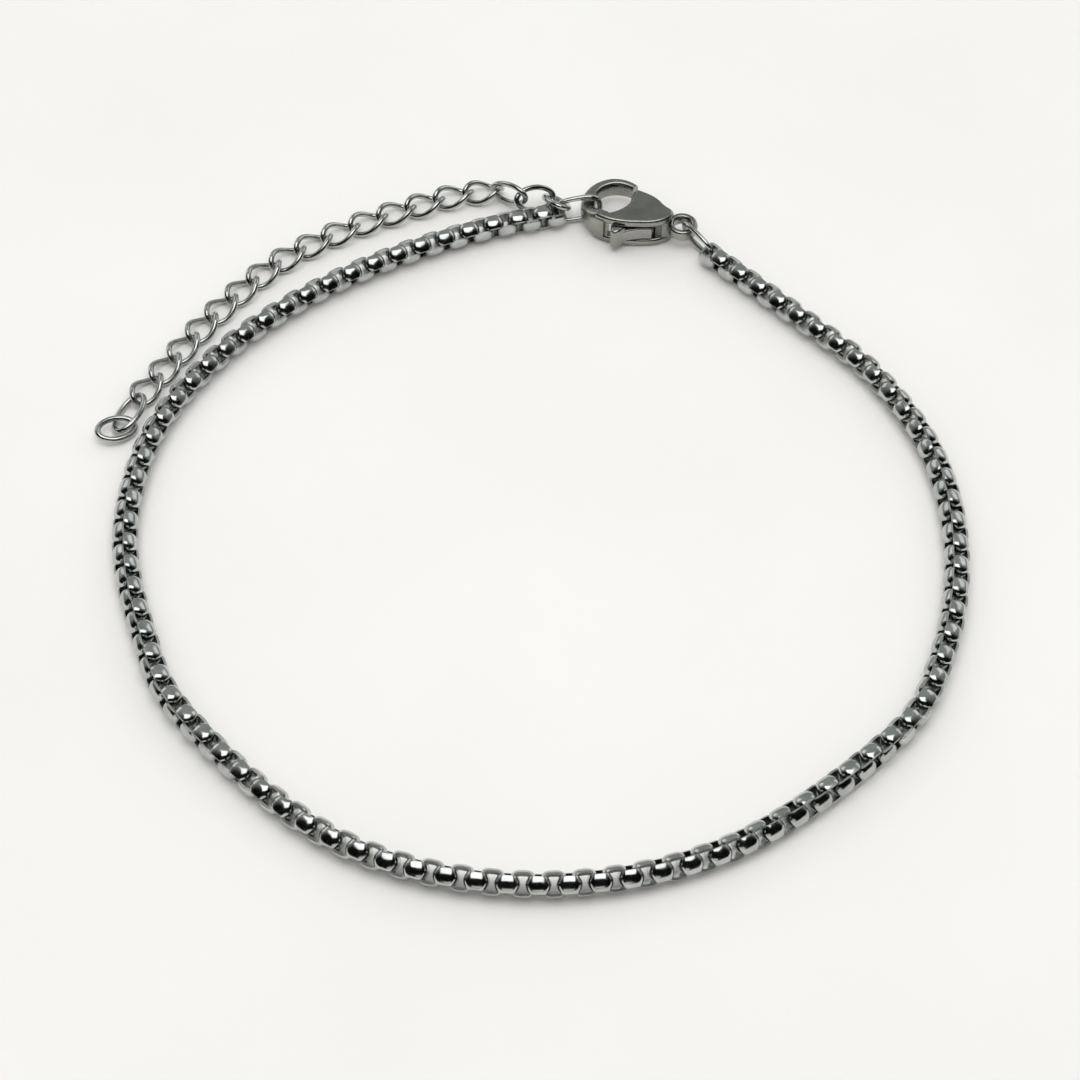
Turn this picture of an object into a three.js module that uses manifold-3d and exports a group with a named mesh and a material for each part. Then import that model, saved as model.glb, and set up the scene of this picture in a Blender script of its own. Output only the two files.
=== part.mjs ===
// Stainless steel hand chain: a rounded box chain closed by a lobster claw clasp, with a curb
// extension chain that ends in a free ring. It lies on the plane z = 0 as a closed loop.
// Millimetres, +Z up, +X to the right and +Y to the back, origin below the middle of the box.

import * as THREE from "three";
import { mergeVertices } from "three/addons/utils/BufferGeometryUtils.js";
import Module from "manifold-3d";

const wasm = await Module();
wasm.setup();

// Box chain: rings bent from a half-round strip, each turned a quarter turn from the last
const BOX_LINKS = 173;
const RIGHT_HALF_LINKS = 87;
const BOX_PITCH = 1.2;
const BOX_CENTRE_HEIGHT = 1.18;
const CONTACT_HALF = 0.5;
const RUN_END = { inset: 0.06, halfHeight: 0.55, halfWidth: 0.38 };
const RING_CORNERS = {
  end: { outer: [0.98, 0.5], outerHalf: 0.34, innerHalf: CONTACT_HALF },
  side: { outer: [0.64, 1.01], outerHalf: 0.36, inner: [0.5, 0.75], innerHalf: 0.72 },
  crown: { outer: [0, 1.12], outerHalf: 0.37 },
};

// Centre line of the box chain, from the clasp's eye round to the clasp's claw
const CHAIN_ROUTE = [
  { x: 16.4, y: 30.0 },
  { x: 24.2, y: 22.3 },
  { x: 30.9, y: 15.0 },
  { x: 35.4, y: 5.6 },
  { x: 36.5, y: -5.0 },
  { x: 34.6, y: -15.4 },
  { x: 29.9, y: -24.1 },
  { x: 16.4, y: -34.7 },
  { x: 1.1, y: -38.2 },
  { x: -14.1, y: -34.5 },
  { x: -27.1, y: -22.9 },
  { x: -31.5, y: -14.0 },
  { x: -33.9, y: -3.6 },
  { x: -32.6, y: 7.1 },
  { x: -27.8, y: 16.2 },
  { x: -20.9, y: 23.3 },
  { x: -12.9, y: 28.7 },
  { x: -4.2, y: 32.7 },
  { x: 3.2, y: 34.85 },
];

// How far the even links lean from upright towards the outside of the loop, in degrees
const CHAIN_LEAN = [
  { link: 0, lean: 76 },
  { link: 8, lean: 60 },
  { link: 25, lean: 40 },
  { link: 34, lean: 25 },
  { link: 46, lean: 24 },
  { link: 54, lean: -11 },
  { link: 62, lean: -35 },
  { link: 79, lean: -52 },
  { link: 96, lean: -59 },
  { link: 111, lean: -109 },
  { link: 124, lean: -133 },
  { link: 146, lean: -120 },
  { link: 162, lean: -118 },
  { link: 172, lean: -92 },
];

// Curb extension: twisted oval wire links that lie flat
const CURB_LINKS = 18;
const FIRST_FLAT_LINK = 3;
const CURB_PITCH = 2.86;
const CURB_WIRE = 0.52;
const CURB_LENGTH = 4.14;
const CURB_WIDTH = 2.8;
const CURB_TWIST = 52;
const CURB_HEIGHT = 0.79;
const CURB_STATIONS = 12;
const WIRE_SIDES = 5;

// Centre line of the curb links that lie flat, from the third link to the free end
const CURB_ROUTE = [
  { x: -4.35, y: 38.0 },
  { x: -7.8, y: 37.1 },
  { x: -15.85, y: 33.4 },
  { x: -22.75, y: 28.7 },
  { x: -28.2, y: 22.1 },
  { x: -32.7, y: 14.5 },
  { x: -35.4, y: 9.7 },
];

// Rings and links that lie askew: where the middle of the wire is at both ends of the long side,
// how wide they are, and which way their flat side faces
const FIRST_CURB_LINK = {
  from: [2.25, 36.96, 1.32],
  to: [-1.19, 35.73, 1.85],
  facing: [-0.34, 0.66, -0.67],
  width: 2.6,
  wire: CURB_WIRE,
};
const SECOND_CURB_LINK = {
  from: [-0.39, 35.81, 2.41],
  to: [-3.39, 38.1, 0.87],
  facing: [0.6, 0.8, 0.03],
  width: 2.7,
  wire: CURB_WIRE,
};
const LAST_CURB_LINK = {
  from: [-34.15, 12.07, 0.84],
  to: [-35.68, 8.08, 0.62],
  facing: [-0.38, 0.09, 0.92],
  width: CURB_WIDTH,
  wire: CURB_WIRE,
};
const ASKEW_CURB_LINKS = {
  1: FIRST_CURB_LINK,
  2: SECOND_CURB_LINK,
  [CURB_LINKS]: LAST_CURB_LINK,
};
const END_RING = {
  from: [-37.39, 7.54, 0.95],
  to: [-34.37, 8.96, 0.5],
  facing: [0.2, -0.11, 0.97],
  width: 2.7,
  wire: 0.54,
};
const LINKING_RING = {
  from: [1.92, 37.34, 0.91],
  to: [3.16, 34.47, 2.31],
  facing: [0.33, 0.52, 0.78],
  width: 2.7,
  wire: 0.54,
};
const CLAW_RING = {
  from: [2.53, 34.9, 1.23],
  to: [6.58, 35.49, 1.7],
  facing: [0.12, -0.98, 0.18],
  width: 2.8,
  wire: 0.5,
};
const EYE_RING = {
  from: [14.41, 32.74, 1.66],
  to: [16.83, 29.78, 1.23],
  facing: [0.77, 0.59, 0.24],
  width: 2.8,
  wire: 0.48,
};
const RING_STATIONS = 14;
const RING_SIDES = 6;
const FULL_OVAL = 2;
const STRAIGHT_SIDED_OVAL = 3;

// Lobster claw clasp, drawn with its eye at the origin, its claw towards -X and its gate at +Y
const CLASP_PLACE = { x: 14.2, y: 32.8, turn: -12.9 };
const CLASP_THICKNESS = 3.2;
const PLATE_THICKNESS = 0.8;
const EYE = { radius: 1.42, hole: 0.78, bottom: 1.05, top: 2.15 };
const CLAW = { x: -6.6, y: 0.95, radius: 3.2 };
const CLAW_SECTIONS = [
  { angle: 262, width: 1.5, height: 3.0 },
  { angle: 243, width: 1.5, height: 2.9 },
  { angle: 225, width: 1.4, height: 2.2 },
  { angle: 205, width: 1.35, height: 1.5 },
  { angle: 183, width: 1.35, height: 1.3 },
  { angle: 160, width: 1.25, height: 1.35 },
  { angle: 136, width: 1.1, height: 1.6 },
  { angle: 112, width: 0.95, height: 1.75 },
  { angle: 88, width: 0.85, height: 1.75 },
  { angle: 60, width: 0.75, height: 1.6 },
];
const CLAW_MID_HEIGHT = 1.6;
const PIVOT = { x: -3.6, y: 0.2, radius: 0.35 };
const LEVER_THICKNESS = 1.3;
const LEVER_HOLE = 0.5;
const CORE_CLEARANCE = 2.15;

// Brings the middle of the whole box to the origin
const CENTRING = { x: -0.01, y: -0.03 };

const STEEL = new THREE.MeshStandardMaterial({ color: 0x9a9d9a, roughness: 0.25, metalness: 1 });
const SATIN_STEEL = new THREE.MeshStandardMaterial({ color: 0x8d8f8c, roughness: 0.4, metalness: 1 });

const UP = new THREE.Vector3(0, 0, 1);
const RADIANS = Math.PI / 180;

// A smooth curve through the points of a route
function routeCurve(route, height) {
  const points = route.map(({ x, y }) => new THREE.Vector3(x, y, height));
  const curve = new THREE.CatmullRomCurve3(points, false, "catmullrom", 0.5);
  curve.arcLengthDivisions = 3000;
  return curve;
}

function leanAt(link) {
  let k = 1;
  while (k < CHAIN_LEAN.length - 1 && CHAIN_LEAN[k].link < link) k += 1;
  const from = CHAIN_LEAN[k - 1];
  const to = CHAIN_LEAN[k];
  const share = (link - from.link) / (to.link - from.link);
  return (from.lean + (to.lean - from.lean) * share) * RADIANS;
}

// Place and directions of the box chain at a link number, which may be a half
function chainFrame(curve, link) {
  const share = ((link + 0.5) * BOX_PITCH) / curve.getLength();
  const at = curve.getPointAt(share);
  const along = curve.getTangentAt(share);
  const out = new THREE.Vector3().crossVectors(UP, along);
  const lean = leanAt(link);
  const first = UP.clone().multiplyScalar(Math.cos(lean)).addScaledVector(out, Math.sin(lean));
  const second = UP.clone().multiplyScalar(-Math.sin(lean)).addScaledVector(out, Math.cos(lean));
  return { at, along, first, second };
}

function place(frame, x, first, second) {
  return frame.at
    .clone()
    .addScaledVector(frame.along, x)
    .addScaledVector(frame.first, first)
    .addScaledVector(frame.second, second);
}

function meshFrom(points, triangles) {
  const geometry = new THREE.BufferGeometry();
  const positions = points.flatMap((p) => [p.x, p.y, p.z]);
  geometry.setAttribute("position", new THREE.Float32BufferAttribute(positions, 3));
  geometry.setIndex(triangles);
  return geometry;
}

// One closed body of the links from start up to end. Neighbours share the square where their
// end bars press on each other, so the run is a single skin.
function boxChainRun(start, end) {
  const curve = routeCurve(CHAIN_ROUTE, BOX_CENTRE_HEIGHT);
  const points = [];
  const triangles = [];
  const add = (p) => points.push(p) - 1;
  const quad = (a, b, c, d) => triangles.push(a, b, c, a, c, d);

  // The four corners of a contact face, by the sign of the first and second direction
  const contact = (at, shift, halfFirst, halfSecond) => {
    const frame = chainFrame(curve, at);
    const corner = (a, b) => add(place(frame, shift, a * halfFirst, b * halfSecond));
    return { "1,1": corner(1, 1), "1,-1": corner(1, -1), "-1,1": corner(-1, 1), "-1,-1": corner(-1, -1) };
  };
  const sharedSquare = (at) => contact(at, 0, CONTACT_HALF, CONTACT_HALF);

  // The free bars at the two ends of a run are thinner and narrower, so that two runs that meet
  // don't touch
  const runEnd = (link, direction) => {
    const at = link + direction / 2;
    const shift = direction * RUN_END.inset;
    return link % 2 === 1
      ? contact(at, shift, RUN_END.halfWidth, RUN_END.halfHeight)
      : contact(at, shift, RUN_END.halfHeight, RUN_END.halfWidth);
  };

  let behind = runEnd(start, -1);
  for (let link = start; link < end; link += 1) {
    const isLast = link === end - 1;
    const ahead = isLast ? runEnd(link, 1) : sharedSquare(link + 0.5);
    const frame = chainFrame(curve, link);
    const turned = link % 2 === 1;
    // Side is along the ring's height, and width is across its strip
    const at = (x, side, width) =>
      add(turned ? place(frame, x, width, side) : place(frame, x, side, -width));
    const cornerOf = (square, side, width) =>
      turned ? square[`${width},${side}`] : square[`${side},${-width}`];

    const station = (kind, x, side) => {
      const { outer, outerHalf, inner, innerHalf } = RING_CORNERS[kind];
      const made = {
        outerLow: at(x * outer[0], side * outer[1], -outerHalf),
        outerHigh: at(x * outer[0], side * outer[1], outerHalf),
      };
      if (kind === "side") {
        made.innerLow = at(x * inner[0], side * inner[1], -innerHalf);
        made.innerHigh = at(x * inner[0], side * inner[1], innerHalf);
      }
      if (kind === "end") {
        made.innerLow = cornerOf(x > 0 ? ahead : behind, side, -1);
        made.innerHigh = cornerOf(x > 0 ? ahead : behind, side, 1);
      }
      return made;
    };
    const band = (a, b) => {
      quad(a.outerLow, b.outerLow, b.outerHigh, a.outerHigh);
      quad(a.outerHigh, b.outerHigh, b.innerHigh, a.innerHigh);
      quad(a.innerLow, b.innerLow, b.outerLow, a.outerLow);
    };
    const inside = (a, b) => quad(a.innerHigh, b.innerHigh, b.innerLow, a.innerLow);

    // The face between two side stations rises to a crown
    const face = (a, crown, b) => {
      quad(a.outerLow, crown.outerLow, crown.outerHigh, a.outerHigh);
      quad(crown.outerLow, b.outerLow, b.outerHigh, crown.outerHigh);
      triangles.push(a.outerHigh, crown.outerHigh, a.innerHigh);
      triangles.push(crown.outerHigh, b.innerHigh, a.innerHigh);
      triangles.push(crown.outerHigh, b.outerHigh, b.innerHigh);
      triangles.push(a.innerLow, crown.outerLow, a.outerLow);
      triangles.push(a.innerLow, b.innerLow, crown.outerLow);
      triangles.push(b.innerLow, b.outerLow, crown.outerLow);
      inside(a, b);
    };

    const endAheadLow = station("end", 1, -1);
    const endAheadHigh = station("end", 1, 1);
    const sideHighAhead = station("side", 1, 1);
    const crownHigh = station("crown", 1, 1);
    const sideHighBehind = station("side", -1, 1);
    const endBehindHigh = station("end", -1, 1);
    const endBehindLow = station("end", -1, -1);
    const sideLowBehind = station("side", -1, -1);
    const crownLow = station("crown", 1, -1);
    const sideLowAhead = station("side", 1, -1);

    band(endAheadLow, endAheadHigh);
    band(endAheadHigh, sideHighAhead);
    inside(endAheadHigh, sideHighAhead);
    face(sideHighAhead, crownHigh, sideHighBehind);
    band(sideHighBehind, endBehindHigh);
    inside(sideHighBehind, endBehindHigh);
    band(endBehindHigh, endBehindLow);
    band(endBehindLow, sideLowBehind);
    inside(endBehindLow, sideLowBehind);
    face(sideLowBehind, crownLow, sideLowAhead);
    band(sideLowAhead, endAheadLow);
    inside(sideLowAhead, endAheadLow);

    // The bar's inner face shows only at the two ends of the run
    if (link === start) inside(endBehindHigh, endBehindLow);
    if (isLast) inside(endAheadLow, endAheadHigh);
    behind = ahead;
  }
  return meshFrom(points, triangles);
}

// A closed wire: path gives the centre and the outward direction at an angle round the loop
function wireLoop(path, stations, sides, radius) {
  const points = [];
  const triangles = [];
  const step = 1e-3;
  for (let s = 0; s < stations; s += 1) {
    const turn = (2 * Math.PI * s) / stations;
    const centre = path(turn);
    const along = path(turn + step).sub(path(turn - step)).normalize();
    const flatOut = new THREE.Vector3(along.y, -along.x, 0).normalize();
    const lift = new THREE.Vector3().crossVectors(flatOut, along);
    for (let k = 0; k < sides; k += 1) {
      const round = (2 * Math.PI * k) / sides;
      points.push(
        centre
          .clone()
          .addScaledVector(flatOut, radius * Math.cos(round))
          .addScaledVector(lift, radius * Math.sin(round)),
      );
    }
  }
  for (let s = 0; s < stations; s += 1) {
    const next = (s + 1) % stations;
    for (let k = 0; k < sides; k += 1) {
      const beside = (k + 1) % sides;
      const a = s * sides + k;
      const b = next * sides + k;
      const c = next * sides + beside;
      const d = s * sides + beside;
      triangles.push(a, b, c, a, c, d);
    }
  }
  return meshFrom(points, triangles);
}

// An oval about the origin. Fullness 2 is an ellipse, and a higher one has straighter sides.
// A twist turns its two ends opposite ways about its length, by that many degrees each.
function ovalPath({ length, width, wire }, fullness, twist) {
  const halfLength = (length - wire) / 2;
  const halfWidth = (width - wire) / 2;
  const bent = (value) => Math.sign(value) * Math.abs(value) ** (2 / fullness);
  return (turn) => {
    const across = halfWidth * bent(Math.sin(turn));
    const roll = -twist * RADIANS * Math.cos(turn);
    return new THREE.Vector3(
      halfLength * bent(Math.cos(turn)),
      across * Math.cos(roll),
      across * Math.sin(roll),
    );
  };
}

function namedMesh(name, geometry, material) {
  geometry.computeVertexNormals();
  const mesh = new THREE.Mesh(geometry, material);
  mesh.name = name;
  return mesh;
}

// Turns a piece so that its X follows along and its Z is as near to top as it can be
function turnTo(mesh, centre, along, top) {
  const x = along.clone().normalize();
  const y = new THREE.Vector3().crossVectors(top, x).normalize();
  const z = new THREE.Vector3().crossVectors(x, y);
  mesh.matrix.makeBasis(x, y, z).setPosition(centre);
  mesh.matrix.decompose(mesh.position, mesh.quaternion, mesh.scale);
  return mesh;
}

// A ring or link whose long side runs from one point to another
function spanning(name, spec, fullness, stations, sides) {
  const from = new THREE.Vector3(...spec.from);
  const to = new THREE.Vector3(...spec.to);
  const length = from.distanceTo(to) + spec.wire;
  const path = ovalPath({ length, width: spec.width, wire: spec.wire }, fullness, 0);
  const mesh = namedMesh(name, wireLoop(path, stations, sides, spec.wire / 2), STEEL);
  const facing = new THREE.Vector3(...spec.facing);
  return turnTo(mesh, from.clone().lerp(to, 0.5), to.sub(from), facing);
}

function ring(name, spec, fullness) {
  return spanning(name, spec, fullness, RING_STATIONS, RING_SIDES);
}

function curbLink(twist) {
  const size = { length: CURB_LENGTH, width: CURB_WIDTH, wire: CURB_WIRE };
  return wireLoop(ovalPath(size, FULL_OVAL, twist), CURB_STATIONS, WIRE_SIDES, CURB_WIRE / 2);
}

function curbChain() {
  const curve = routeCurve(CURB_ROUTE, CURB_HEIGHT);
  return Array.from({ length: CURB_LINKS }, (_, k) => {
    const name = `curb_link_${String(k + 1).padStart(2, "0")}`;
    const askew = ASKEW_CURB_LINKS[k + 1];
    if (askew) return spanning(name, askew, FULL_OVAL, CURB_STATIONS, WIRE_SIDES);
    const share = ((k + 1 - FIRST_FLAT_LINK) * CURB_PITCH) / curve.getLength();
    const mesh = namedMesh(name, curbLink(CURB_TWIST), STEEL);
    return turnTo(mesh, curve.getPointAt(share), curve.getTangentAt(share), UP);
  });
}

// Booleans for the clasp
function toSolid(geometry) {
  const bare = geometry.clone();
  bare.deleteAttribute("normal");
  bare.deleteAttribute("uv");
  const merged = mergeVertices(bare, 1e-4);
  const vertProperties = new Float32Array(merged.attributes.position.array);
  const triVerts = new Uint32Array(merged.index.array);
  return new wasm.Manifold(new wasm.Mesh({ numProp: 3, vertProperties, triVerts }));
}

function toGeometry(solid) {
  const { numProp, vertProperties, triVerts } = solid.getMesh();
  const points = [];
  for (let k = 0; k < vertProperties.length; k += numProp) {
    points.push(new THREE.Vector3(vertProperties[k], vertProperties[k + 1], vertProperties[k + 2]));
  }
  return meshFrom(points, Array.from(triVerts));
}

function slab(shape, bottom, top, bevel, curveSegments) {
  const geometry = new THREE.ExtrudeGeometry(shape, {
    depth: top - bottom - 2 * bevel,
    bevelEnabled: bevel > 0,
    bevelThickness: bevel,
    bevelSize: bevel,
    bevelOffset: -bevel,
    bevelSegments: 1,
    curveSegments,
  });
  return toSolid(geometry.translate(0, 0, bottom + bevel));
}

function disc(x, y, radius, bottom, top, segments) {
  const geometry = new THREE.CylinderGeometry(radius, radius, top - bottom, segments);
  geometry.rotateX(Math.PI / 2).translate(x, y, (top + bottom) / 2);
  return toSolid(geometry);
}

// The leaf-shaped outline of the two plates, with the hollow edge that closes the claw's opening
function leafShape() {
  const leaf = new THREE.Shape();
  leaf.moveTo(-4.9, 1.3);
  leaf.quadraticCurveTo(-5.2, -0.3, -6.6, -1.15);
  leaf.lineTo(-7.5, -1.25);
  leaf.lineTo(-7.9, -1.8);
  leaf.quadraticCurveTo(-6.2, -2.5, -3.9, -1.95);
  leaf.quadraticCurveTo(-2.3, -1.7, -1.45, -0.95);
  leaf.lineTo(-0.9, -0.45);
  leaf.lineTo(-0.9, 0.5);
  leaf.quadraticCurveTo(-1.7, 0.65, -2.35, 1.35);
  leaf.quadraticCurveTo(-3.2, 2.1, -4.85, 2.35);
  leaf.closePath();
  return leaf;
}

// The curved claw: an eight-sided bar whose width and height change along an arc
function clawBar() {
  const cornerShare = 0.45;
  const points = [];
  const triangles = [];
  for (const { angle, width, height } of CLAW_SECTIONS) {
    const turn = angle * RADIANS;
    const middle = CLAW.radius - width / 2;
    const half = { across: width / 2, up: height / 2 };
    const corners = [
      [1, -cornerShare],
      [1, cornerShare],
      [cornerShare, 1],
      [-cornerShare, 1],
      [-1, cornerShare],
      [-1, -cornerShare],
      [-cornerShare, -1],
      [cornerShare, -1],
    ];
    for (const [across, up] of corners) {
      const radius = middle + across * half.across;
      points.push(
        new THREE.Vector3(
          CLAW.x + radius * Math.cos(turn),
          CLAW.y + radius * Math.sin(turn),
          CLAW_MID_HEIGHT + up * half.up,
        ),
      );
    }
  }
  const sides = 8;
  const last = (CLAW_SECTIONS.length - 1) * sides;
  for (let s = 0; s < CLAW_SECTIONS.length - 1; s += 1) {
    for (let k = 0; k < sides; k += 1) {
      const a = s * sides + k;
      const b = s * sides + ((k + 1) % sides);
      triangles.push(a, b, b + sides, a, b + sides, a + sides);
    }
  }
  for (let k = 1; k < sides - 1; k += 1) {
    triangles.push(0, k + 1, k);
    triangles.push(last, last + k, last + k + 1);
  }
  return toSolid(meshFrom(points, triangles));
}

function claspBody() {
  const leaf = leafShape();
  const lowerPlate = slab(leaf, 0, PLATE_THICKNESS, 0.15, 4);
  const upperPlate = slab(leaf, CLASP_THICKNESS - PLATE_THICKNESS, CLASP_THICKNESS, 0.15, 4);
  const between = [PLATE_THICKNESS - 0.2, CLASP_THICKNESS - PLATE_THICKNESS + 0.2];
  const core = slab(leaf, ...between, 0, 4).subtract(
    disc(PIVOT.x, PIVOT.y, CORE_CLEARANCE, 0, CLASP_THICKNESS, 20).add(leverRoom(between)),
  );
  const rivet = disc(PIVOT.x, PIVOT.y, PIVOT.radius, ...between, 10);
  const eye = disc(0, 0, EYE.radius, EYE.bottom, EYE.top, 18);
  const body = lowerPlate.add(upperPlate).add(core).add(rivet).add(eye).add(clawBar());
  return body.subtract(disc(0, 0, EYE.hole, 0, CLASP_THICKNESS, 12));
}

// The slot that the lever swings in, open to the front and to the gate
function leverRoom([bottom, top]) {
  const room = new THREE.Shape();
  room.moveTo(-6.55, -3.5);
  room.lineTo(-3.6, -3.5);
  room.lineTo(-1.75, -1.8);
  room.lineTo(-1.75, 2.6);
  room.lineTo(-5.6, 2.6);
  room.lineTo(-6.55, -0.6);
  room.closePath();
  return slab(room, bottom - 0.1, top + 0.1, 0, 1);
}

// The lever: a head that meets the claw's tip, a hub on the rivet, and a nub for the thumbnail
function claspLever() {
  const bottom = CLAW_MID_HEIGHT - LEVER_THICKNESS / 2;
  const top = CLAW_MID_HEIGHT + LEVER_THICKNESS / 2;
  const arm = new THREE.Shape();
  arm.moveTo(-5.15, 2.95);
  arm.lineTo(-5.3, 2.35);
  arm.quadraticCurveTo(-5.15, 0.6, -5.3, -0.3);
  arm.lineTo(-6.35, -1.9);
  arm.lineTo(-6.2, -2.75);
  arm.lineTo(-5.45, -2.95);
  arm.quadraticCurveTo(-4.6, -2.0, -2.6, -1.6);
  arm.lineTo(-2.35, -1.15);
  arm.quadraticCurveTo(-2.3, 0.6, -3.1, 1.3);
  arm.quadraticCurveTo(-3.9, 1.7, -4.6, 2.75);
  arm.closePath();
  const nub = new THREE.Shape();
  nub.moveTo(-6.2, -2.35);
  nub.lineTo(-6.15, -3.1);
  nub.lineTo(-5.75, -3.35);
  nub.lineTo(-5.3, -2.95);
  nub.lineTo(-4.95, -2.4);
  nub.closePath();
  return slab(arm, bottom, top, 0, 4)
    .add(slab(nub, 0.55, 2.75, 0.2, 1))
    .subtract(disc(PIVOT.x, PIVOT.y, LEVER_HOLE, 0, CLASP_THICKNESS, 12));
}

function clasp() {
  const group = new THREE.Group();
  group.add(namedMesh("clasp_body", toGeometry(claspBody()), SATIN_STEEL));
  group.add(namedMesh("clasp_lever", toGeometry(claspLever()), SATIN_STEEL));
  group.position.set(CLASP_PLACE.x, CLASP_PLACE.y, 0);
  group.rotation.z = CLASP_PLACE.turn * RADIANS;
  return group;
}

const bracelet = new THREE.Group();
bracelet.position.set(CENTRING.x, CENTRING.y, 0);
bracelet.add(namedMesh("box_chain_right", boxChainRun(0, RIGHT_HALF_LINKS), STEEL));
bracelet.add(namedMesh("box_chain_left", boxChainRun(RIGHT_HALF_LINKS, BOX_LINKS), STEEL));
bracelet.add(...curbChain());
bracelet.add(ring("end_ring", END_RING, FULL_OVAL));
bracelet.add(ring("linking_ring", LINKING_RING, FULL_OVAL));
bracelet.add(ring("claw_ring", CLAW_RING, STRAIGHT_SIDED_OVAL));
bracelet.add(ring("eye_ring", EYE_RING, STRAIGHT_SIDED_OVAL));
bracelet.add(clasp());

export default bracelet;
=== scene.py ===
# Looks of the hand chain: smooth polished links and rings, and a satin lobster claw clasp, laid
# on a pale table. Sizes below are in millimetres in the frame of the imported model, and MM turns
# them into Blender's metres. +Z is up, and the loop's front is towards -Y.

from math import cos, pi, radians, sin

import bmesh
import bpy
import numpy as np
from mathutils import Matrix, Vector


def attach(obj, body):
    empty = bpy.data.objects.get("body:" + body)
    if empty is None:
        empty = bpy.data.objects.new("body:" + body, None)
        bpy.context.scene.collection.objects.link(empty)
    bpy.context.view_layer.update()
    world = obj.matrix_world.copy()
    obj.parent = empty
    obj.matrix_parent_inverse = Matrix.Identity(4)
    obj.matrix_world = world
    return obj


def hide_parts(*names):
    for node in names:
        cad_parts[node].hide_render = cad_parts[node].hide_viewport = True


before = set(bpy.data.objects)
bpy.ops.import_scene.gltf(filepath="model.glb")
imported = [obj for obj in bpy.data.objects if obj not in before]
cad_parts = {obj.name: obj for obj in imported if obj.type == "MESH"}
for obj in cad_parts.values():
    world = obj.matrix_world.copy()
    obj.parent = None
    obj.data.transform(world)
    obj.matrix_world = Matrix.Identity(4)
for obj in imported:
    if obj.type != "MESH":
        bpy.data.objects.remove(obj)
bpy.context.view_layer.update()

MM = 0.001
CHAIN_BODY = "chain"
LEVER_BODY = "lever"
CENTRING = np.array([-0.01, -0.03, 0.0])

# Box chain
BOX_LINKS = 173
RIGHT_HALF_LINKS = 87
BOX_PITCH = 1.2
BOX_CENTRE_HEIGHT = 1.18
CHAIN_ROUTE = [
    (16.4, 30.0), (24.2, 22.3), (30.9, 15.0), (35.4, 5.6), (36.5, -5.0), (34.6, -15.4),
    (29.9, -24.1), (16.4, -34.7), (1.1, -38.2), (-14.1, -34.5), (-27.1, -22.9), (-31.5, -14.0),
    (-33.9, -3.6), (-32.6, 7.1), (-27.8, 16.2), (-20.9, 23.3), (-12.9, 28.7), (-4.2, 32.7),
    (3.2, 34.85),
]
# Link number, and how far the even links lean from upright towards the outside, in degrees
CHAIN_LEAN = [
    (0, 76), (8, 60), (25, 40), (34, 25), (46, 24), (54, -11), (62, -35), (79, -52), (96, -59),
    (111, -109), (124, -133), (146, -120), (162, -118), (172, -92),
]
# A ring of domed strip: half length, half height and fullness of its outside and inside
RING_OUTSIDE = {"half_length": 1.02, "half_height": 1.09, "fullness": 3.2}
RING_INSIDE = {"half_length": 0.6, "half_height": 0.66, "fullness": 4.2}
STRIP_HALF_WIDTH = 0.7
STRIP_END_HALF_WIDTH = 0.54
STRIP_NARROWING = 3
STRIP_EDGE_SHARE = 0.5
STRIP_DOME = radians(38)
RING_STATIONS = 44
STRIP_STEPS = 10

# Curb extension
CURB_LINKS = 18
FIRST_FLAT_LINK = 3
CURB_PITCH = 2.86
CURB_WIRE = 0.52
CURB_LENGTH = 4.14
CURB_WIDTH = 2.8
CURB_TWIST = radians(52)
CURB_HEIGHT = 0.79
CURB_ROUTE = [
    (-4.35, 38.0), (-7.8, 37.1), (-15.85, 33.4), (-22.75, 28.7), (-28.2, 22.1), (-32.7, 14.5),
    (-35.4, 9.7),
]

# Rings and links that lie askew: both ends of the long side, where the flat side faces, width,
# wire and fullness
FULL_OVAL = 2
STRAIGHT_SIDED_OVAL = 3
ASKEW = {
    "curb_link_01": ((2.25, 36.96, 1.32), (-1.19, 35.73, 1.85), (-0.34, 0.66, -0.67), 2.6,
        CURB_WIRE, FULL_OVAL),
    "curb_link_02": ((-0.39, 35.81, 2.41), (-3.39, 38.1, 0.87), (0.6, 0.8, 0.03), 2.7,
        CURB_WIRE, FULL_OVAL),
    "curb_link_18": ((-34.15, 12.07, 0.84), (-35.68, 8.08, 0.62), (-0.38, 0.09, 0.92), CURB_WIDTH,
        CURB_WIRE, FULL_OVAL),
    "end_ring": ((-37.39, 7.54, 0.95), (-34.37, 8.96, 0.5), (0.2, -0.11, 0.97), 2.7,
        0.54, FULL_OVAL),
    "linking_ring": ((1.92, 37.34, 0.91), (3.16, 34.47, 2.31), (0.33, 0.52, 0.78), 2.7,
        0.54, FULL_OVAL),
    "claw_ring": ((2.53, 34.9, 1.23), (6.58, 35.49, 1.7), (0.12, -0.98, 0.18), 2.8,
        0.5, STRAIGHT_SIDED_OVAL),
    "eye_ring": ((14.41, 32.74, 1.66), (16.83, 29.78, 1.23), (0.77, 0.59, 0.24), 2.8,
        0.48, STRAIGHT_SIDED_OVAL),
}
WIRE_STATIONS = 48
WIRE_SIDES = 16
WIRE_TANGENT_REACH = 0.01
ROUTE_TANGENT_REACH = 0.05
SHARP_ANGLE = radians(40)

# Clasp, drawn with its eye at the origin, its claw towards -X and its gate at +Y
CLASP_PLACE = {"x": 14.2, "y": 32.8, "turn": -12.9}
CLASP_THICKNESS = 3.2
PLATE_THICKNESS = 0.8
PLATE_ROUNDING = 0.36
CORE_OVERLAP = 0.3
EYE = {"radius": 1.42, "hole": 0.78, "bottom": 1.05, "top": 2.15, "fullness": 3.0}
CLAW = {"x": -6.6, "y": 0.95, "radius": 3.2, "mid_height": 1.6, "fullness": 3.2}
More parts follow.
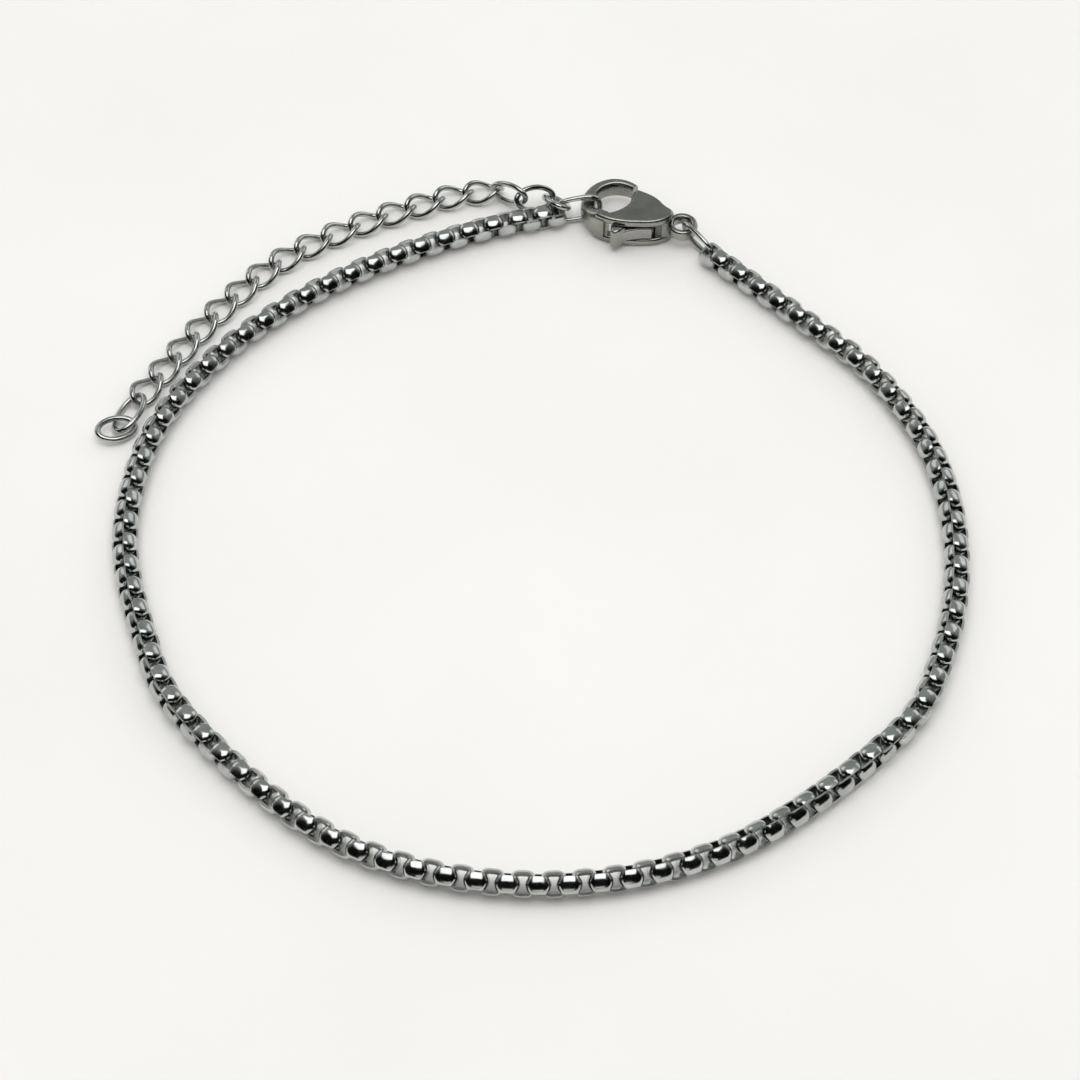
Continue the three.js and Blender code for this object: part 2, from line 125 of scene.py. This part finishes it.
# Angle round the claw's centre, and the bar's width and height there
CLAW_SECTIONS = [
    (262, 1.5, 3.0), (243, 1.5, 2.9), (225, 1.4, 2.2), (205, 1.35, 1.5), (183, 1.35, 1.3),
    (160, 1.25, 1.35), (136, 1.1, 1.6), (112, 0.95, 1.75), (88, 0.85, 1.75), (60, 0.75, 1.6),
]
LEVER = {"bottom": 0.95, "top": 2.25, "rounding": 0.12}
NUB = {"bottom": 0.55, "top": 2.75, "rounding": 0.25}
# Outlines: a pair is a corner, and a pair of pairs is the control point and end of a curve
LEAF_OUTLINE = [
    (-4.9, 1.3), ((-5.2, -0.3), (-6.6, -1.15)), (-7.5, -1.25), (-7.9, -1.8),
    ((-6.2, -2.5), (-3.9, -1.95)), ((-2.3, -1.7), (-1.45, -0.95)), ((-0.9, -0.5), (-0.9, 0.0)),
    ((-0.9, 0.45), (-1.5, 0.72)), ((-2.0, 0.95), (-2.35, 1.35)), ((-3.2, 2.1), (-4.85, 2.35)),
]
NECK_OUTLINE = [(-1.72, -1.0), (-0.95, -0.5), (-0.95, 0.5), (-1.72, 0.7)]
ROOT_OUTLINE = [(-7.6, -1.35), (-7.75, -1.75), (-6.65, -2.05), (-6.65, -1.25)]
LEVER_OUTLINE = [
    (-5.15, 2.95), (-5.3, 2.35), ((-5.15, 0.6), (-5.3, -0.3)), (-6.35, -1.9), (-6.2, -2.75),
    (-5.45, -2.95), ((-4.6, -2.0), (-2.6, -1.6)), (-2.35, -1.15), ((-2.3, 0.6), (-3.1, 1.3)),
    ((-3.9, 1.7), (-4.6, 2.75)),
]
NUB_OUTLINE = [(-6.2, -2.35), (-6.15, -3.1), (-5.75, -3.35), (-5.3, -2.95), (-4.95, -2.4)]

# Materials: where the noise's dark and light ends lie
NOISE_LOW = 0.3
NOISE_HIGH = 0.7

# Studio, in metres and watts. The lights show in the steel. The fills only lighten the shadows.
LIGHTS = {
    "overhead": {"place": (0, -0.02, 0.45), "size": (0.38, 0.33), "watts": 0.82},
    "low_front": {"place": (0, -0.75, 0.12), "size": (0.5, 0.16), "watts": 0.22},
    "panel_left": {"place": (-0.45, 0.45, 0.34), "size": (0.45, 0.35), "watts": 0.34},
    "panel_right": {"place": (0.45, 0.45, 0.34), "size": (0.45, 0.35), "watts": 0.34},
}
FILL_SIZE = (0.9, 0.9)
FILL_WATTS = 1.5
FILL_PLACES = {
    "fill_front": (0, -0.7, 0.5), "fill_back": (0, 0.7, 0.5),
    "fill_left": (-0.7, 0, 0.5), "fill_right": (0.7, 0, 0.5), "fill_top": (0, 0, 0.85),
}
# The sky's tint, and its strength from the front to the back
SKY_TINT = (0.96, 1.0, 0.985, 1)
SKY_RAMP = {"From Min": -0.2, "From Max": 0.5, "To Min": 0.005, "To Max": 0.38}
TABLE_HALF_SIZE = 0.9

# Camera: where it stands over the table, how far it looks down, and a slight roll in degrees
CAMERA = {"place": (1.29, -156.43, 191.89), "down": 51.3928, "roll": -0.5428}
FOCAL_PIXELS = 2880.74
FRAME_PIXELS = 1080
SENSOR = 36.0
CLIP_START = 0.01

UP = np.array([0.0, 0.0, 1.0])


def unit(vector):
    return vector / np.linalg.norm(vector)


# Routes


class Route:
    """A Catmull-Rom curve through points at one height, measured along its length."""

    def __init__(self, points, height, steps=240):
        knots = np.array([(x, y, height) for x, y in points])
        knots = np.vstack([2 * knots[0] - knots[1], knots, 2 * knots[-1] - knots[-2]])
        share = np.linspace(0, 1, steps, endpoint=False)[:, None]
        stretches = []
        for before, start, end, after in zip(knots, knots[1:], knots[2:], knots[3:]):
            slope_in = (end - before) / 2
            slope_out = (after - start) / 2
            stretches.append(
                start + slope_in * share
                + (3 * (end - start) - 2 * slope_in - slope_out) * share ** 2
                + (2 * (start - end) + slope_in + slope_out) * share ** 3
            )
        self.points = np.vstack(stretches + [knots[-2:-1]])
        strides = np.linalg.norm(np.diff(self.points, axis=0), axis=1)
        self.lengths = np.concatenate([[0], np.cumsum(strides)])

    def at(self, length):
        return np.array([np.interp(length, self.lengths, self.points[:, k]) for k in range(3)])

    def tangent(self, length):
        ahead = self.at(length + ROUTE_TANGENT_REACH)
        return unit(ahead - self.at(length - ROUTE_TANGENT_REACH))


# Meshes


def new_piece(name, points, faces, materials, body, nodes):
    """A smooth piece from points in millimetres, which stands for the CAD nodes."""
    mesh = bpy.data.meshes.new(name)
    mesh.from_pydata([tuple(p) for p in (np.asarray(points) + CENTRING) * MM], [], faces)
    mesh.validate()
    for material in materials:
        mesh.materials.append(material)
    mesh.shade_smooth()
    mesh.set_sharp_from_angle(angle=SHARP_ANGLE)
    piece = bpy.data.objects.new(name, mesh)
    bpy.context.scene.collection.objects.link(piece)
    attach(piece, body)
    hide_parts(*nodes)
    return piece


def tube_faces(rings, sides, first, closed):
    """Quads round a tube of rings with the same number of sides each."""
    faces = []
    for r in range(rings if closed else rings - 1):
        here = first + r * sides
        ahead = first + ((r + 1) % rings) * sides
        for k in range(sides):
            beside = (k + 1) % sides
            faces.append((here + k, ahead + k, ahead + beside, here + beside))
    return faces


def superellipse(angle, half_length, half_height, fullness):
    power = 2 / fullness
    x, y = cos(angle), sin(angle)
    return (
        half_length * np.sign(x) * abs(x) ** power,
        half_height * np.sign(y) * abs(y) ** power,
    )


# Box chain


def box_ring_points():
    """One box link about the origin: columns are along the chain, its height and its width."""
    points = []
    for station in range(RING_STATIONS):
        angle = 2 * pi * (station + 0.5) / RING_STATIONS
        outside = np.array(superellipse(angle, **RING_OUTSIDE))
        inside = np.array(superellipse(angle, **RING_INSIDE))
        towards_end = abs(cos(angle)) ** STRIP_NARROWING
        half_width = STRIP_HALF_WIDTH + (STRIP_END_HALF_WIDTH - STRIP_HALF_WIDTH) * towards_end
        section = [(-1, 0), (0, 0), (1, 0)]
        for step in range(STRIP_STEPS + 1):
            turn = STRIP_DOME * (1 - 2 * step / STRIP_STEPS)
            dome = (cos(turn) - cos(STRIP_DOME)) / (1 - cos(STRIP_DOME))
            rise = STRIP_EDGE_SHARE + (1 - STRIP_EDGE_SHARE) * dome
            section.append((sin(turn) / sin(STRIP_DOME), rise))
        for across, rise in section:
            x, y = inside + (outside - inside) * rise
            points.append((x, y, across * half_width))
    return np.array(points)


def lean_at(link):
    links, leans = zip(*CHAIN_LEAN)
    return radians(np.interp(link, links, leans))


def box_chain(name, node, start, end, materials):
    """A run of links in one piece. The cut edges of the strip take the second material."""
    route = Route(CHAIN_ROUTE, BOX_CENTRE_HEIGHT)
    ring = box_ring_points()
    sides = len(ring) // RING_STATIONS
    # The section's third and last sides join its flat inside to its dome
    cut_edges = (2, sides - 1)
    points = []
    faces = []
    for link in range(start, end):
        length = (link + 0.5) * BOX_PITCH
        along = route.tangent(length)
        out = np.cross(UP, along)
        lean = lean_at(link)
        height = cos(lean) * UP + sin(lean) * out
        width = sin(lean) * UP - cos(lean) * out
        if link % 2 == 1:
            height, width = -width, height
        faces += tube_faces(RING_STATIONS, sides, len(points), closed=True)
        placed = route.at(length) + ring @ np.array([along, height, width])
        points += list(placed)
    piece = new_piece(name, points, faces, materials, CHAIN_BODY, [node])
    for face in piece.data.polygons:
        if face.index % sides in cut_edges:
            face.material_index = 1


# Wire links and rings


def wire_ring(length, width, wire, fullness, twist):
    """A round wire bent to an oval about the origin, its two ends twisted opposite ways."""
    half_length = (length - wire) / 2
    half_width = (width - wire) / 2

    def middle(angle):
        x, y = superellipse(angle, half_length, half_width, fullness)
        roll = -twist * cos(angle)
        return np.array([x, y * cos(roll), y * sin(roll)])

    points = []
    for station in range(WIRE_STATIONS):
        angle = 2 * pi * (station + 0.5) / WIRE_STATIONS
        along = unit(middle(angle + WIRE_TANGENT_REACH) - middle(angle - WIRE_TANGENT_REACH))
        out = unit(np.array([along[1], -along[0], 0]))
        lift = np.cross(out, along)
        for side in range(WIRE_SIDES):
            turn = 2 * pi * side / WIRE_SIDES
            points.append(middle(angle) + wire / 2 * (cos(turn) * out + sin(turn) * lift))
    return np.array(points)


def turned(points, centre, along, top):
    x = unit(along)
    y = unit(np.cross(top, x))
    return centre + points @ np.array([x, y, np.cross(x, y)])


def wire_piece(node, points, material):
    faces = tube_faces(WIRE_STATIONS, WIRE_SIDES, 0, closed=True)
    new_piece(node + "_wire", points, faces, [material], CHAIN_BODY, [node])


def wire_pieces(material):
    for node, (start, end, facing, width, wire, fullness) in ASKEW.items():
        start, end = np.array(start), np.array(end)
        length = np.linalg.norm(end - start) + wire
        ring = wire_ring(length, width, wire, fullness, 0)
        wire_piece(node, turned(ring, (start + end) / 2, end - start, np.array(facing)), material)
    route = Route(CURB_ROUTE, CURB_HEIGHT)
    for number in range(FIRST_FLAT_LINK, CURB_LINKS):
        length = (number - FIRST_FLAT_LINK) * CURB_PITCH
        ring = wire_ring(CURB_LENGTH, CURB_WIDTH, CURB_WIRE, FULL_OVAL, CURB_TWIST)
        along = route.tangent(max(length, ROUTE_TANGENT_REACH))
        placed = turned(ring, route.at(length), along, UP)
        wire_piece(f"curb_link_{number:02d}", placed, material)


# Clasp


def outline_points(outline, steps=10):
    points = []
    for item in outline:
        if not isinstance(item[0], tuple):
            points.append(item)
            continue
        control, end = item
        start = points[-1]
        for step in range(1, steps + 1):
            t = step / steps
            points.append(tuple(
                (1 - t) ** 2 * start[k] + 2 * t * (1 - t) * control[k] + t * t * end[k]
                for k in range(2)
            ))
    return points


class Solid:
    """Collects closed shells in the clasp's own frame."""

    def __init__(self):
        self.points = []
        self.faces = []

    def add(self, points, faces):
        first = len(self.points)
        self.points += [tuple(p) for p in points]
        self.faces += [tuple(first + k for k in face) for face in faces]

    def add_slab(self, outline, bottom, top, rounding):
        mesh = bmesh.new()
        corners = [mesh.verts.new((x, y, bottom)) for x, y in outline_points(outline)]
        base = mesh.faces.new(corners)
        base.normal_update()
        if base.normal.z > 0:
            base.normal_flip()
        lifted = bmesh.ops.extrude_face_region(mesh, geom=[base])
        raised = [v for v in lifted["geom"] if isinstance(v, bmesh.types.BMVert)]
        bmesh.ops.translate(mesh, verts=raised, vec=(0, 0, top - bottom))
        bmesh.ops.recalc_face_normals(mesh, faces=mesh.faces)
        rims = [e for e in mesh.edges if abs(e.verts[0].co.z - e.verts[1].co.z) < 1e-6]
        if rounding:
            bmesh.ops.bevel(
                mesh, geom=rims, offset=rounding, segments=4, profile=0.5, affect="EDGES",
                clamp_overlap=True,
            )
        mesh.verts.index_update()
        faces = [[v.index for v in face.verts] for face in mesh.faces]
        self.add([v.co.copy() for v in mesh.verts], faces)
        mesh.free()

    def add_eye(self, stations=48, sides=16):
        middle = (EYE["radius"] + EYE["hole"]) / 2
        wall = (EYE["radius"] - EYE["hole"]) / 2
        height = (EYE["top"] - EYE["bottom"]) / 2
        points = []
        for station in range(stations):
            round_eye = 2 * pi * station / stations
            for side in range(sides):
                across, up = superellipse(2 * pi * side / sides, wall, height, EYE["fullness"])
                radius = middle + across
                points.append((
                    radius * cos(round_eye), radius * sin(round_eye),
                    (EYE["top"] + EYE["bottom"]) / 2 + up,
                ))
        faces = [face[::-1] for face in tube_faces(stations, sides, 0, closed=True)]
        self.add(points, faces)

    def add_claw(self, steps=54, sides=24):
        angles, widths, heights = (np.array(column, float) for column in zip(*CLAW_SECTIONS))
        points = []
        for step in range(steps):
            angle = angles[0] + (angles[-1] - angles[0]) * step / (steps - 1)
            width = np.interp(-angle, -angles, widths)
            height = np.interp(-angle, -angles, heights)
            middle = CLAW["radius"] - width / 2
            for side in range(sides):
                turn = 2 * pi * side / sides
                across, up = superellipse(turn, width / 2, height / 2, CLAW["fullness"])
                radius = middle + across
                points.append((
                    CLAW["x"] + radius * cos(radians(angle)),
                    CLAW["y"] + radius * sin(radians(angle)),
                    CLAW["mid_height"] + up,
                ))
        faces = tube_faces(steps, sides, 0, closed=False)
        last = (steps - 1) * sides
        faces.append(tuple(range(sides)))
        faces.append(tuple(last + k for k in reversed(range(sides))))
        self.add(points, faces)

    def placed(self):
        turn = Matrix.Rotation(radians(CLASP_PLACE["turn"]), 3, "Z")
        shift = np.array([CLASP_PLACE["x"], CLASP_PLACE["y"], 0])
        return np.array(self.points) @ np.array(turn).T + shift


def clasp_pieces(material):
    body = Solid()
    upper = CLASP_THICKNESS - PLATE_THICKNESS
    body.add_slab(LEAF_OUTLINE, 0, PLATE_THICKNESS, PLATE_ROUNDING)
    body.add_slab(LEAF_OUTLINE, upper, CLASP_THICKNESS, PLATE_ROUNDING)
    for outline in (NECK_OUTLINE, ROOT_OUTLINE):
        body.add_slab(outline, PLATE_THICKNESS - CORE_OVERLAP, upper + CORE_OVERLAP, 0)
    body.add_eye()
    body.add_claw()
    new_piece("clasp_body_satin", body.placed(), body.faces, [material], CHAIN_BODY,
              ["clasp_body"])
    lever = Solid()
    lever.add_slab(LEVER_OUTLINE, **LEVER)
    lever.add_slab(NUB_OUTLINE, **NUB)
    new_piece("clasp_lever_satin", lever.placed(), lever.faces, [material], LEVER_BODY,
              ["clasp_lever"])


# Materials


class Nodes:
    """Short names for building a material's node tree."""

    def __init__(self, name):
        self.material = bpy.data.materials.new(name)
        self.material.use_nodes = True
        self.tree = self.material.node_tree
        self.shader = self.tree.nodes["Principled BSDF"]
        self.place = self.tree.nodes.new("ShaderNodeTexCoord").outputs["Object"]

    def add(self, kind, links, values):
        """A node with some inputs linked and others set, each by the input's name."""
        node = self.tree.nodes.new("ShaderNode" + kind)
        for name, value in values.items():
            node.inputs[name].default_value = value
        for name, output in links.items():
            self.tree.links.new(output, node.inputs[name])
        return node

    def noise(self, scale, detail):
        values = {"Scale": scale, "Detail": detail}
        return self.add("TexNoise", {"Vector": self.place}, values).outputs["Fac"]

    def between(self, value, low, high):
        values = {"From Min": NOISE_LOW, "From Max": NOISE_HIGH, "To Min": low, "To Max": high}
        return self.add("MapRange", {"Value": value}, values).outputs["Result"]

    def tint(self, value, dark, light):
        node = self.add("ValToRGB", {"Fac": value}, {})
        ends = zip(node.color_ramp.elements, (NOISE_LOW, NOISE_HIGH), (dark, light))
        for element, position, colour in ends:
            element.position = position
            element.color = (*colour, 1)
        return node.outputs["Color"]

    def bump(self, height, strength, distance, below=None):
        links = {"Height": height}
        if below is not None:
            links["Normal"] = below
        values = {"Strength": strength, "Distance": distance}
        return self.add("Bump", links, values).outputs["Normal"]

    def finish(self, colour, roughness, normal):
        self.shader.inputs["Metallic"].default_value = 1.0
        self.tree.links.new(colour, self.shader.inputs["Base Color"])
        self.tree.links.new(roughness, self.shader.inputs["Roughness"])
        self.tree.links.new(normal, self.shader.inputs["Normal"])
        return self.material


def polished_steel():
    """Tumble-polished steel: bright, with faint waves, dull patches and fine wear marks."""
    nodes = Nodes("polished_steel")
    colour = nodes.tint(nodes.noise(900, 3), (0.42, 0.435, 0.425), (0.57, 0.58, 0.565))
    patches = nodes.between(nodes.noise(1500, 5), 0.10, 0.22)
    waves = nodes.bump(nodes.noise(1300, 2), 0.25, 0.00003)
    marks = nodes.bump(nodes.noise(14000, 2), 0.12, 0.000004, below=waves)
    return nodes.finish(colour, patches, marks)


def cut_steel():
    """The strip's cut edges: matt grey, with fine lines left by the rolls."""
    nodes = Nodes("cut_steel")
    colour = nodes.tint(nodes.noise(1800, 3), (0.40, 0.415, 0.405), (0.54, 0.55, 0.535))
    patches = nodes.between(nodes.noise(3000, 4), 0.42, 0.56)
    lines = nodes.bump(nodes.noise(12000, 3), 0.4, 0.000008)
    return nodes.finish(colour, patches, lines)


def satin_steel():
    """Cast and tumbled steel: duller and warmer, with a fine grain."""
    nodes = Nodes("satin_steel")
    colour = nodes.tint(nodes.noise(500, 4), (0.27, 0.275, 0.25), (0.38, 0.38, 0.345))
    patches = nodes.between(nodes.noise(2500, 5), 0.17, 0.28)
    grain = nodes.bump(nodes.noise(16000, 3), 0.35, 0.000008)
    casting = nodes.bump(nodes.noise(1200, 3), 0.2, 0.00004, below=grain)
    return nodes.finish(colour, patches, casting)


def table_top():
    nodes = Nodes("pale_table")
    colour = nodes.tint(nodes.noise(30, 3), (0.875, 0.862, 0.84), (0.905, 0.892, 0.87))
    nodes.tree.links.new(colour, nodes.shader.inputs["Base Color"])
    nodes.shader.inputs["Roughness"].default_value = 0.8
    nodes.shader.inputs["Specular IOR Level"].default_value = 0.2
    return nodes.material


# Surroundings


def table():
    half = TABLE_HALF_SIZE
    mesh = bpy.data.meshes.new("table")
    corners = [(-half, -half, 0), (half, -half, 0), (half, half, 0), (-half, half, 0)]
    mesh.from_pydata(corners, [], [(0, 1, 2, 3)])
    mesh.materials.append(table_top())
    surface = bpy.data.objects.new("table", mesh)
    bpy.context.scene.collection.objects.link(surface)


def area_light(name, place, size, watts, in_reflections):
    """A rectangular lamp that faces the middle of the table."""
    light = bpy.data.lights.new(name, "AREA")
    light.shape = "RECTANGLE"
    light.size, light.size_y = size
    light.energy = watts
    lamp = bpy.data.objects.new(name, light)
    lamp.location = place
    lamp.rotation_euler = (-Vector(place)).to_track_quat("-Z", "Y").to_euler()
    lamp.visible_glossy = in_reflections
    bpy.context.scene.collection.objects.link(lamp)


def surroundings():
    """A studio that is dark towards the front and grey towards the back."""
    world = bpy.data.worlds.new("studio")
    bpy.context.scene.world = world
    world.use_nodes = True
    tree = world.node_tree
    direction = tree.nodes.new("ShaderNodeTexCoord").outputs["Generated"]
    parts = tree.nodes.new("ShaderNodeSeparateXYZ")
    tree.links.new(direction, parts.inputs["Vector"])
    ramp = tree.nodes.new("ShaderNodeMapRange")
    tree.links.new(parts.outputs["Y"], ramp.inputs["Value"])
    ramp.interpolation_type = "SMOOTHSTEP"
    for name, value in SKY_RAMP.items():
        ramp.inputs[name].default_value = value
    tree.links.new(ramp.outputs["Result"], tree.nodes["Background"].inputs["Strength"])
    tree.nodes["Background"].inputs["Color"].default_value = SKY_TINT
    for name, light in LIGHTS.items():
        area_light(name, **light, in_reflections=True)
    for name, place in FILL_PLACES.items():
        area_light(name, place, FILL_SIZE, FILL_WATTS, in_reflections=False)


def camera():
    down = radians(CAMERA["down"])
    roll = radians(CAMERA["roll"])
    ahead = np.array([0, cos(down), -sin(down)])
    level_right = np.array([1.0, 0, 0])
    level_down = np.array([0, -sin(down), -cos(down)])
    right = cos(roll) * level_right + sin(roll) * level_down
    up = sin(roll) * level_right - cos(roll) * level_down
    data = bpy.data.cameras.new("camera")
    data.sensor_width = SENSOR
    data.lens = SENSOR * FOCAL_PIXELS / FRAME_PIXELS
    data.clip_start = CLIP_START
    eye = bpy.data.objects.new("camera", data)
    turn = Matrix(np.array([right, up, -ahead]).T.tolist()).to_4x4()
    eye.matrix_world = Matrix.Translation(Vector(CAMERA["place"]) * MM) @ turn
    bpy.context.scene.collection.objects.link(eye)
    bpy.context.scene.camera = eye


camera()
surroundings()
table()
steel = polished_steel()
strip = [steel, cut_steel()]
satin = satin_steel()
box_chain("box_chain_right_links", "box_chain_right", 0, RIGHT_HALF_LINKS, strip)
box_chain("box_chain_left_links", "box_chain_left", RIGHT_HALF_LINKS, BOX_LINKS, strip)
wire_pieces(steel)
clasp_pieces(satin)
bpy.context.scene.view_settings.view_transform = "Standard"
